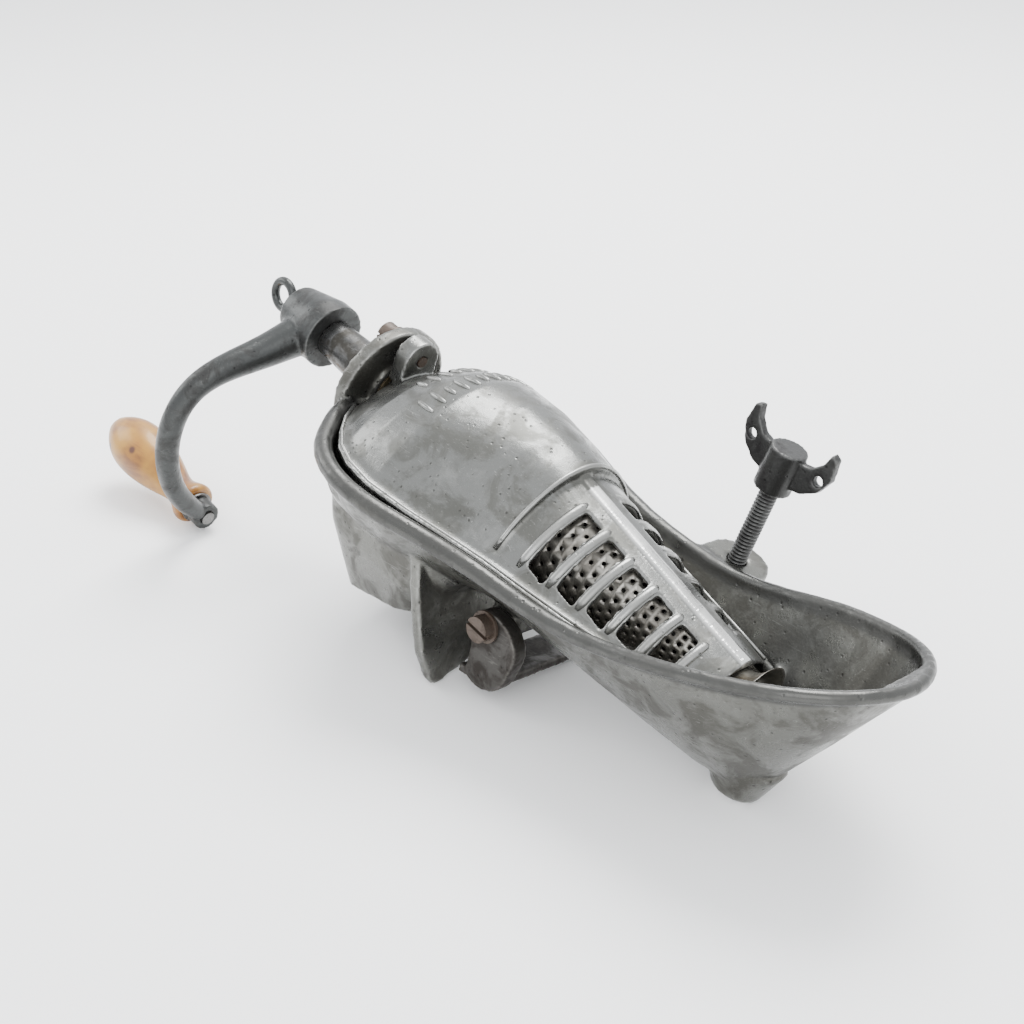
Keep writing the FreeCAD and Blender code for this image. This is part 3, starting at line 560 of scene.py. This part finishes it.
class Workshop:
    """Makes each finish once and hands it out."""

    def __init__(self) -> None:
        """Prepare the shared ageing group."""
        self.ageing: bpy.types.NodeTree = ageing_group()
        self.made: dict[str, bpy.types.Material] = {}

    def metal(self, finish: MetalFinish) -> bpy.types.Material:
        """Aged metal of one finish.

        Args:
            finish: The finish.

        Returns:
            Its material.
        """
        if finish.name in self.made:
            return self.made[finish.name]
        material = bpy.data.materials.new(finish.name)
        material.use_nodes = True
        sheet = NodeSheet(material.node_tree)
        material.node_tree.nodes.clear()
        where = sheet.add("ShaderNodeTexCoord")
        age = sheet.add("ShaderNodeGroup", node_tree=self.ageing)
        age.inputs["Stain Scale"].default_value = finish.stain_scale
        age.inputs["Grain"].default_value = finish.grain
        age.inputs["Pits"].default_value = finish.pits
        sheet.link(where.outputs["Object"], age.inputs["Vector"])
        stained = sheet.blend(age.outputs["Stain"], finish.clean, finish.stain)
        ridge = sheet.add("ShaderNodeNewGeometry")
        exposed = sheet.ramp(ridge.outputs["Pointiness"], 0.508, 0.56)
        rubbed = sheet.add("ShaderNodeMath", operation="MULTIPLY_ADD", use_clamp=True)
        sheet.link(age.outputs["Wear"], rubbed.inputs[0])
        rubbed.inputs[1].default_value = 0.45
        sheet.link(exposed, rubbed.inputs[2])
        worn_share = sheet.calculate("MULTIPLY", rubbed.outputs[0], finish.wear)
        worn = sheet.blend(worn_share, stained, finish.worn)
        speck_share = sheet.calculate("MULTIPLY", age.outputs["Speck"], 0.75)
        specked = sheet.blend(speck_share, worn, tuple(0.30 * c for c in finish.stain))
        scratch_place = sheet.add("ShaderNodeMapping")
        scratch_place.inputs["Scale"].default_value = (40.0, 900.0, 900.0)
        scratch_place.inputs["Rotation"].default_value = (0.3, 0.4, 0.9)
        sheet.link(where.outputs["Object"], scratch_place.inputs["Vector"])
        scratches = sheet.add("ShaderNodeTexNoise", Scale=1.0, Detail=3.0, Roughness=0.7, Distortion=1.5)
        sheet.link(scratch_place.outputs["Vector"], scratches.inputs["Vector"])
        scratch = sheet.calculate("MULTIPLY", sheet.ramp(scratches.outputs["Fac"], 0.60, 0.74), 0.40)
        scratched = sheet.blend(scratch, specked, finish.worn)
        # edge tone: painted shade along the body's rolled rim, a darker patch inside the scoop, a brighter ridge
        # strip on the cover
        marked = sheet.add("ShaderNodeAttribute", attribute_name=EDGE_TONE)
        colour = sheet.blend(marked.outputs["Fac"], scratched, finish.edge)
        rough = sheet.add("ShaderNodeMapRange", To_Min=finish.rough_low, To_Max=finish.rough_high)
        sheet.link(age.outputs["Stain"], rough.inputs["Value"])
        bump = sheet.add("ShaderNodeBump", Strength=0.5, Distance=0.0006)
        sheet.link(age.outputs["Height"], bump.inputs["Height"])
        shader = sheet.add("ShaderNodeBsdfPrincipled", Metallic=finish.metallic)
        sheet.link(colour, shader.inputs["Base Color"])
        sheet.link(rough.outputs["Result"], shader.inputs["Roughness"])
        sheet.link(bump.outputs["Normal"], shader.inputs["Normal"])
        outlet = sheet.add("ShaderNodeOutputMaterial")
        sheet.link(shader.outputs["BSDF"], outlet.inputs["Surface"])
        self.made[finish.name] = material
        return material

    def varnished_wood(self) -> bpy.types.Material:
        """Amber turned wood with dark knots under varnish.

        Returns:
            The grip's material.
        """
        material = bpy.data.materials.new("varnished grip wood")
        material.use_nodes = True
        material.node_tree.nodes.clear()
        sheet = NodeSheet(material.node_tree)
        where = sheet.add("ShaderNodeTexCoord")
        stretch = sheet.add("ShaderNodeMapping")
        stretch.inputs["Scale"].default_value = (22.0, 150.0, 150.0)
        sheet.link(where.outputs["Object"], stretch.inputs["Vector"])
        streaks = sheet.add("ShaderNodeTexNoise", Scale=1.0, Detail=5.0, Roughness=0.6, Distortion=0.8)
        sheet.link(stretch.outputs["Vector"], streaks.inputs["Vector"])
        cloud = sheet.add("ShaderNodeTexNoise", Scale=38.0, Detail=3.0, Roughness=0.5)
        sheet.link(where.outputs["Object"], cloud.inputs["Vector"])
        knots = sheet.add("ShaderNodeTexVoronoi", Scale=62.0)
        sheet.link(where.outputs["Object"], knots.inputs["Vector"])
        knot = sheet.ramp(knots.outputs["Distance"], 0.20, 0.08)
        base = sheet.blend(sheet.ramp(streaks.outputs["Fac"], 0.32, 0.70),
                           (0.270, 0.110, 0.0040), (0.140, 0.045, 0.0015))
        warm = sheet.blend(sheet.ramp(cloud.outputs["Fac"], 0.42, 0.66), base, (0.350, 0.170, 0.0070))
        colour = sheet.blend(knot, warm, (0.060, 0.014, 0.002))
        shader = sheet.add("ShaderNodeBsdfPrincipled", Roughness=0.42)
        shader.inputs["Coat Weight"].default_value = 0.25
        shader.inputs["Coat Roughness"].default_value = 0.12
        bump = sheet.add("ShaderNodeBump", Strength=0.15, Distance=0.0003)
        sheet.link(streaks.outputs["Fac"], bump.inputs["Height"])
        sheet.link(colour, shader.inputs["Base Color"])
        sheet.link(bump.outputs["Normal"], shader.inputs["Normal"])
        outlet = sheet.add("ShaderNodeOutputMaterial")
        sheet.link(shader.outputs["BSDF"], outlet.inputs["Surface"])
        return material


def dressed(piece: bpy.types.Object, material: bpy.types.Material, body: Body, slot: str,
            *nodes: str) -> None:
    """Give a new piece its finish, its body and the CAD nodes it stands for.

    Args:
        piece: Finished piece.
        material: Its material.
        body: Moving body it rides on.
        slot: Material slot of the record; not used.
        nodes: CAD nodes that it replaces.
    """
    piece.data.materials.clear()
    piece.data.materials.append(material)
    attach(piece, body.value)
    if nodes:
        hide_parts(*nodes)


# -------------------------------------------------------------- sub-assemblies


# centre line of the rolled rim on the clamp side, in machine millimetres; the casting gets painted shade along it
RIM_LINE = ((9.0, 30.0, -5.0), (22.0, 52.0, -4.0), (34.0, 65.5, -4.0), (50.0, 75.0, -3.5),
            (70.0, 78.5, -3.0), (105.0, 71.0, -2.5), (145.0, 61.5, -1.0), (175.0, 59.5, 1.5),
            (205.0, 57.5, 7.0), (235.0, 56.5, 18.5), (262.0, 55.5, 31.5), (280.0, 51.0, 39.5), (296.0, 44.5, 46.7),
            (308.0, 36.5, 52.2), (318.0, 25.5, 56.5), (324.0, 13.0, 58.5), (326.0, 0.0, 59.0))


RIM_REACH = 45.0

# centre of the darker patch inside the scoop
SCOOP_DARK_PATCH = Vector((262.0, 40.0, 4.0))

# rows of raised strokes on the dome: position along the worm and half width
MARK_ROWS = ((45.0, 25.0), (63.0, 38.0))
MARK_SPACING = 6.4
MARK_TALL, MARK_SHORT = 6.8, 5.2
MARK_HALF_WIDTH, MARK_HEIGHT = 1.5, 1.4

# ribs between the cover's slots
RIB_FIRST, RIB_PITCH, RIB_COUNT = 153.9, 17.2, 6
RIB_INNER, RIB_OUTER, RIB_TAPER = 9.0, 44.5, 0.17
RIB_STEPS = 12
RIB_RADIUS, RIB_INNER_RADIUS, RIB_OUTER_RADIUS = 2.8, 1.8, 2.0
RIB_SUNK_NEAR, RIB_SUNK_FAR = 1.6, 2.4

# bead along the cover's step
ARCH_X, ARCH_HALF, ARCH_STEPS, ARCH_RADIUS = 140.2, 47.0, 32, 1.3

# raised line on the cover's border: position along the worm and half width
SEAM_LINE = ((14.0, 31.0), (22.0, 43.2), (31.0, 52.6), (42.0, 61.0), (55.0, 66.0), (72.0, 67.7),
             (96.0, 63.7), (118.0, 58.0), (141.0, 52.4), (165.0, 48.4), (188.0, 44.2), (206.0, 40.2),
             (230.0, 35.4), (250.0, 31.0))
SEAM_HEIGHT, SEAM_RADIUS = 0.15, 0.9


def rim_distance(spot: Vector) -> float:
    """Distance from a machine position to the rim's centre line.

    Args:
        spot: Machine position.

    Returns:
        The distance in millimetres.
    """
    here = Vector((spot.x, abs(spot.y), spot.z))
    best = math.inf
    for first, second in zip(RIM_LINE, RIM_LINE[1:]):
        if min(abs(here.x - first[0]), abs(here.x - second[0])) > RIM_REACH:
            continue
        start = Vector(first)
        along = Vector(second) - start
        share = min(max((here - start).dot(along) / along.length_squared, 0.0), 1.0)
        best = min(best, (start + share * along - here).length)
    return best


@dataclass
class Casting:
    """Body casting and the slotted cover over it."""

    shop: Workshop

    def build(self) -> None:
        """Make the casting, its cover and what stands raised on the cover."""
        body = softened("body_casting_skin", "body_casting", voxel=1.2, rounds=7, keep=0.70)
        tone(body, self.body_share)
        dressed(body, self.shop.metal(CAST_BODY), Body.FRAME, "body_metal", "body_casting")
        cover = softened("grid_cover_skin", "grid_cover", voxel=0.9, rounds=4, keep=0.8)
        tone(cover, self.strip_share)
        dressed(cover, self.shop.metal(CAST_COVER), Body.FRAME, "cover_metal", "grid_cover")
        tree = BVHTree.FromObject(cover, bpy.context.evaluated_depsgraph_get())
        self.raised_marks(tree)
        self.louvre_ribs(tree)
        self.seam_lip()

    @staticmethod
    def body_share(spot: Vector) -> float:
        """How dark the casting is: painted shade along its rolled rim, and a darker patch inside the scoop.

        Args:
            spot: Machine position.

        Returns:
            The share between 0 and 1.
        """
        # painted shade along the rolled rim, where the roll turns away from the light
        rim = 0.80 * step_down(rim_distance(spot), 5.2, 7.6)
        # darker patch inside the scoop
        stain = 0.55 * step_down((spot - SCOOP_DARK_PATCH).length, 8.0, 34.0)
        return max(rim, stain)

    @staticmethod
    def strip_share(spot: Vector) -> float:
        """How bright the cover is: its ridge strip takes a much brighter colour.

        Args:
            spot: Machine position.

        Returns:
            The share between 0 and 1.
        """
        if spot.x < 148.0 or spot.z < 10.0:
            return 0.0
        return 0.70 * step_down(abs(spot.y), 2.9, 4.6)

    @staticmethod
    def surface(tree: BVHTree, x: float, y: float) -> Optional[tuple[Vector, Vector]]:
        """Machine position and normal of the cover's outside at (x, y).

        Args:
            tree: Search tree of the cover.
            x: Distance along the worm.
            y: Distance across.

        Returns:
            Position and normal, or None off the cover.
        """
        downward = (MACHINE.point(0, 0, -1) - MACHINE.point(0, 0, 0)).normalized()
        spot, normal, _, _ = tree.ray_cast(MACHINE.point(x, y, 90.0), downward)
        if spot is None:
            return None
        return MACHINE.inverse @ spot, (MACHINE.inverse.to_3x3() @ normal).normalized()

    def raised_marks(self, tree: BVHTree) -> None:
        """Two rows of plain raised strokes near the crown's crank end.

        Args:
            tree: Search tree of the cover.
        """
        shape = bmesh.new()
        for row, (x, reach) in enumerate(MARK_ROWS):
            count = int(2 * reach / MARK_SPACING)
            for number in range(count):
                y = -reach + 2 * reach * (number + 0.5) / count
                place = self.surface(tree, x, y)
                if place is None:
                    continue
                spot, normal = place
                across = normal.cross(Vector((1, 0, 0))).normalized()
                turn = Matrix((across.cross(normal), across, normal)).transposed().to_4x4()
                tall = MARK_TALL if (number + row) % 3 else MARK_SHORT
                size = Matrix.Diagonal((tall, MARK_HALF_WIDTH, MARK_HEIGHT, 1.0))
                bmesh.ops.create_uvsphere(shape, u_segments=14, v_segments=8, radius=1.0,
                                          matrix=Matrix.Translation(spot) @ turn @ size)
        marks = mesh_object("raised_dome_strokes", shape)
        dressed(marks, self.shop.metal(CAST_COVER), Body.FRAME, "cover_metal")

    def louvre_ribs(self, tree: BVHTree) -> None:
        """Rounded ribs between the slots and an arch bead along the step.

        Args:
            tree: Search tree of the cover.
        """
        shape = bmesh.new()
        for number in range(RIB_COUNT):
            x = RIB_FIRST + RIB_PITCH * number
            reach = RIB_OUTER - RIB_TAPER * (x - RIB_FIRST)
            for side, sunk in ((-1, RIB_SUNK_NEAR), (1, RIB_SUNK_FAR)):
                spots = []
                for step in range(RIB_STEPS):
                    y = side * (RIB_INNER + (reach - RIB_INNER) * step / (RIB_STEPS - 1))
                    place = self.surface(tree, x, y)
                    if place is not None:
                        spots.append(place[0] - sunk * place[1])
                if len(spots) > 3:
                    radii = [RIB_INNER_RADIUS] + [RIB_RADIUS] * (len(spots) - 2) + [RIB_OUTER_RADIUS]
                    tube(shape, spots, radii)
        arch = []
        for step in range(ARCH_STEPS + 1):
            y = -ARCH_HALF + 2 * ARCH_HALF * step / ARCH_STEPS
            place = self.surface(tree, ARCH_X, y)
            if place is not None:
                arch.append(place[0])
        tube(shape, arch, [ARCH_RADIUS] * len(arch))
        ribs = mesh_object("louvre_ribs", shape)
        dressed(ribs, self.shop.metal(CAST_COVER), Body.FRAME, "cover_metal")

    def seam_lip(self) -> None:
        """Thin raised line on the cover's border, just inside the rim."""
        shape = bmesh.new()
        for side in (-1, 1):
            spots = [Vector((x, side * half, SEAM_HEIGHT)) for x, half in SEAM_LINE]
            tube(shape, spots, [SEAM_RADIUS] * len(spots), sides=8)
        lip = mesh_object("cover_seam_lip", shape)
        dressed(lip, self.shop.metal(CAST_COVER), Body.FRAME, "cover_metal")


@dataclass
class Strainer:
    """Perforated cone with its ring and outlet collar, and the worm inside."""

    shop: Workshop
    start: float = 146.0
    end: float = 256.0
    large: float = 28.0
    small: float = 8.6
    pitch: float = 5.6
    hole: float = 1.15
    wall: float = 1.1

    def build(self) -> None:
        """Make the cone, the collar, the ring and the worm."""
        cone = self.perforated_cone()
        dressed(cone, self.shop.metal(TINNED), Body.FRAME, "strainer_tin", "strainer_cone")
        outline = ((0.0, 9.5), (0.0, 10.55), (5.5, 10.6), (8.0, 10.9), (11.0, 12.8), (14.0, 16.4),
                   (15.6, 19.4), (16.0, 19.9), (15.6, 18.6), (13.0, 13.8), (9.5, 10.6), (7.0, 9.45),
                   (0.0, 9.4))
        bell = lathe("outlet_collar_bell", outline, start=Vector((252.0, 0, 0)),
                     axis=Vector((1, 0, 0)), segments=72)
        dressed(bell, self.shop.metal(TINNED), Body.FRAME, "strainer_tin", "outlet_collar")
        ring = softened("strainer_end_ring", "strainer_ring", voxel=0.8, rounds=2)
        dressed(ring, self.shop.metal(TINNED), Body.FRAME, "strainer_tin", "strainer_ring")
        worm = softened("cast_worm", "worm", voxel=0.9, rounds=4, keep=0.8)
        dressed(worm, self.shop.metal(WORM_METAL), Body.ROTOR, "worm_metal", "worm")

    def perforated_cone(self) -> bpy.types.Object:
        """Thin cone wall with staggered round holes.

        Returns:
            The cone.
        """
        shape = bmesh.new()
        rows = int((self.end - self.start) / (self.pitch * 0.87))
        count = int(2 * math.pi * 0.5 * (self.large + self.small) / self.pitch)
        depth = (self.end - self.start) / rows
        corners = 8

        def radius_at(along: float) -> float:
            """Outer radius of the cone."""
            return self.large + (self.small - self.large) * (along - self.start) / (self.end - self.start)

        def on_cone(along: float, angle: float) -> Vector:
            """Point on the cone's outside."""
            radius = radius_at(along)
            return Vector((along, radius * math.cos(angle), radius * math.sin(angle)))

        grid: dict[tuple[int, int], bmesh.types.BMVert] = {}
        for row in range(rows + 1):
            for step in range(2 * count):
                along = self.start + row * depth
                grid[(row, step)] = shape.verts.new(on_cone(along, math.pi * step / count))
        for row in range(rows):
            shift = row % 2
            for cell in range(count):
                first = 2 * cell + shift
                edge = [grid[(row, (first + k) % (2 * count))] for k in range(3)]
                edge += [grid[(row + 1, (first + k) % (2 * count))] for k in (2, 1, 0)]
                middle_along = self.start + (row + 0.5) * depth
                middle_angle = math.pi * (first + 1) / count
                opening = self.hole / radius_at(middle_along)
                rim = []
                for corner in range(corners):
                    turn = 2 * math.pi * (corner + 0.5) / corners
                    spot = on_cone(middle_along + self.hole * math.cos(turn),
                                   middle_angle + opening * math.sin(turn))
                    rim.append(shape.verts.new(spot))
                outer = shape.faces.new(edge)
                inner_edges = [shape.edges.new((rim[k], rim[(k + 1) % corners])) for k in range(corners)]
                outer_edges = list(outer.edges)
                shape.faces.remove(outer)
                bmesh.ops.bridge_loops(shape, edges=outer_edges + inner_edges)
        wall = mesh_object("perforated_strainer_cone", shape)
        solid = wall.modifiers.new("Wall", "SOLIDIFY")
        solid.thickness = self.wall * MM
        solid.offset = -1.0
        return applied(wall)


@dataclass
class Crank:
    """Drive shaft, crank arm, eye screw and the turned grip."""

    shop: Workshop

    def build(self) -> None:
        """Make every piece that turns by hand."""
        arm = softened("crank_arm_casting", "crank_arm", voxel=0.9, rounds=4, keep=0.8)
        dressed(arm, self.shop.metal(CRANK_IRON), Body.ROTOR, "crank_iron", "crank_arm")
        shaft = softened("drive_shaft_forging", "drive_shaft", voxel=0.7, rounds=2, keep=0.7)
        dressed(shaft, self.shop.metal(SHAFT_STEEL), Body.ROTOR, "shaft_steel", "drive_shaft")
        eye = softened("eye_screw", "crank_eye_screw", voxel=0.5, rounds=3)
        dressed(eye, self.shop.metal(CRANK_IRON), Body.EYE_SCREW, "screw_steel", "crank_eye_screw")
        grip = softened("turned_grip", "handle_grip", voxel=0.9, rounds=4)
        dressed(grip, self.shop.varnished_wood(), Body.GRIP, "handle_wood", "handle_grip")


@dataclass
class Clamp:
    """Clamp screw with its wings, and the swinging jaw."""

    shop: Workshop
    screw_foot: tuple[float, float, float] = (195.0, 73.0, -43.0)
    screw_top: float = 60.0
    screw_radius: float = 5.0
    thread_pitch: float = 2.0
    thread_depth: float = 0.7

    def build(self) -> None:
        """Make the clamp's pieces."""
        screw = threaded_rod("clamp_screw_thread", Vector(self.screw_foot), self.screw_top,
                             self.screw_radius, self.thread_pitch, self.thread_depth)
        dressed(screw, self.shop.metal(CLAMP_IRON), Body.CLAMP, "clamp_iron", "clamp_screw")
        wing = softened("wing_head_casting", "wing_head", voxel=0.7, rounds=5)
        dressed(wing, self.shop.metal(CLAMP_IRON), Body.CLAMP, "clamp_iron", "wing_head")
        jaw = softened("swing_jaw_casting", "swing_jaw", voxel=0.9, rounds=5)
        dressed(jaw, self.shop.metal(JAW_IRON), Body.JAW, "jaw_iron", "swing_jaw")


class PlainNodes:
    """CAD nodes that are shown as they are, with a bevel and a finish."""

    finishes: dict[str, tuple[MetalFinish, float]] = {
        "shaft_bush": (BRASS, 0.3), "thrust_washer": (BRASS, 0.3),
        "jaw_washer": (RUSTY, 0.25), "jaw_screw": (RUSTY, 0.5),
        "handle_pin": (SHAFT_STEEL, 0.4), "handle_washer": (SHAFT_STEEL, 0.25),
        "crank_washer": (SHAFT_STEEL, 0.3), "cover_bolt": (RUSTY, 0.5),
        "cover_bolt_washer": (RUSTY, 0.25), "clamp_pad": (CLAMP_IRON, 0.6),
    }

    def __init__(self, shop: Workshop) -> None:
        """Dress the nodes.

        Args:
            shop: Source of the materials.
        """
        for node, (finish, width) in self.finishes.items():
            piece = frame["nodes"][node]
            piece.data.materials.clear()
            piece.data.materials.append(shop.metal(finish))
            rounded(piece, width)


# ---------------------------------------------------------------------- stage

CAMERA_LENS, CAMERA_SENSOR = 52.965, 36.0
CAMERA_PLACE = (0.5134, -0.4394, 0.4527)
CAMERA_TURN = (59.986, 0.047, 47.667)
FLOOR_COLOUR = (0.88, 0.88, 0.875, 1.0)
SKY_COLOUR, SKY_STRENGTH = (0.95, 0.97, 1.0, 1.0), 2.15


def studio() -> None:
    """Pale floor and backdrop, and soft lights."""
    floor = bpy.data.materials.new("pale floor")
    floor.use_nodes = True
    shader = floor.node_tree.nodes["Principled BSDF"]
    shader.inputs["Base Color"].default_value = FLOOR_COLOUR
    shader.inputs["Roughness"].default_value = 0.9
    shape = bmesh.new()
    bmesh.ops.create_grid(shape, x_segments=1, y_segments=1, size=6.0)
    ground = mesh_object("floor", shape, machine_units=False)
    ground.data.materials.append(floor)

    world = bpy.data.worlds.new("studio")
    bpy.context.scene.world = world
    world.use_nodes = True
    backdrop = world.node_tree.nodes["Background"]
    backdrop.inputs["Color"].default_value = SKY_COLOUR
    backdrop.inputs["Strength"].default_value = SKY_STRENGTH

    def area(name: str, position: tuple[float, float, float], size: float, power: float) -> None:
        """Square lamp that faces the machine."""
        light = bpy.data.lights.new(name, "AREA")
        light.size = size
        light.energy = power
        lamp = bpy.data.objects.new(name, light)
        lamp.location = position
        lamp.rotation_euler = (-Vector(position)).to_track_quat("-Z", "Y").to_euler()
        bpy.context.scene.collection.objects.link(lamp)

    area("key", (-0.35, 0.75, 1.5), size=1.0, power=56.0)
    area("fill", (1.1, -1.0, 1.0), size=1.4, power=15.0)
    area("side", (-1.2, -0.5, 0.8), size=0.8, power=10.0)


def view_camera() -> None:
    """Camera above the scoop's near side, looking down towards the crank."""
    lens = bpy.data.cameras.new("camera")
    lens.lens = CAMERA_LENS
    lens.sensor_width = CAMERA_SENSOR
    camera = bpy.data.objects.new("camera", lens)
    camera.location = CAMERA_PLACE
    camera.rotation_euler = Euler([math.radians(turn) for turn in CAMERA_TURN])
    bpy.context.scene.collection.objects.link(camera)
    bpy.context.scene.camera = camera


def main() -> None:
    """Build the machine's looks and the stage."""
    logging.basicConfig(level=logging.INFO)
    shop = Workshop()
    Casting(shop).build()
    Strainer(shop).build()
    Crank(shop).build()
    Clamp(shop).build()
    PlainNodes(shop)
    studio()
    view_camera()


if __name__ == "__main__":
    main()
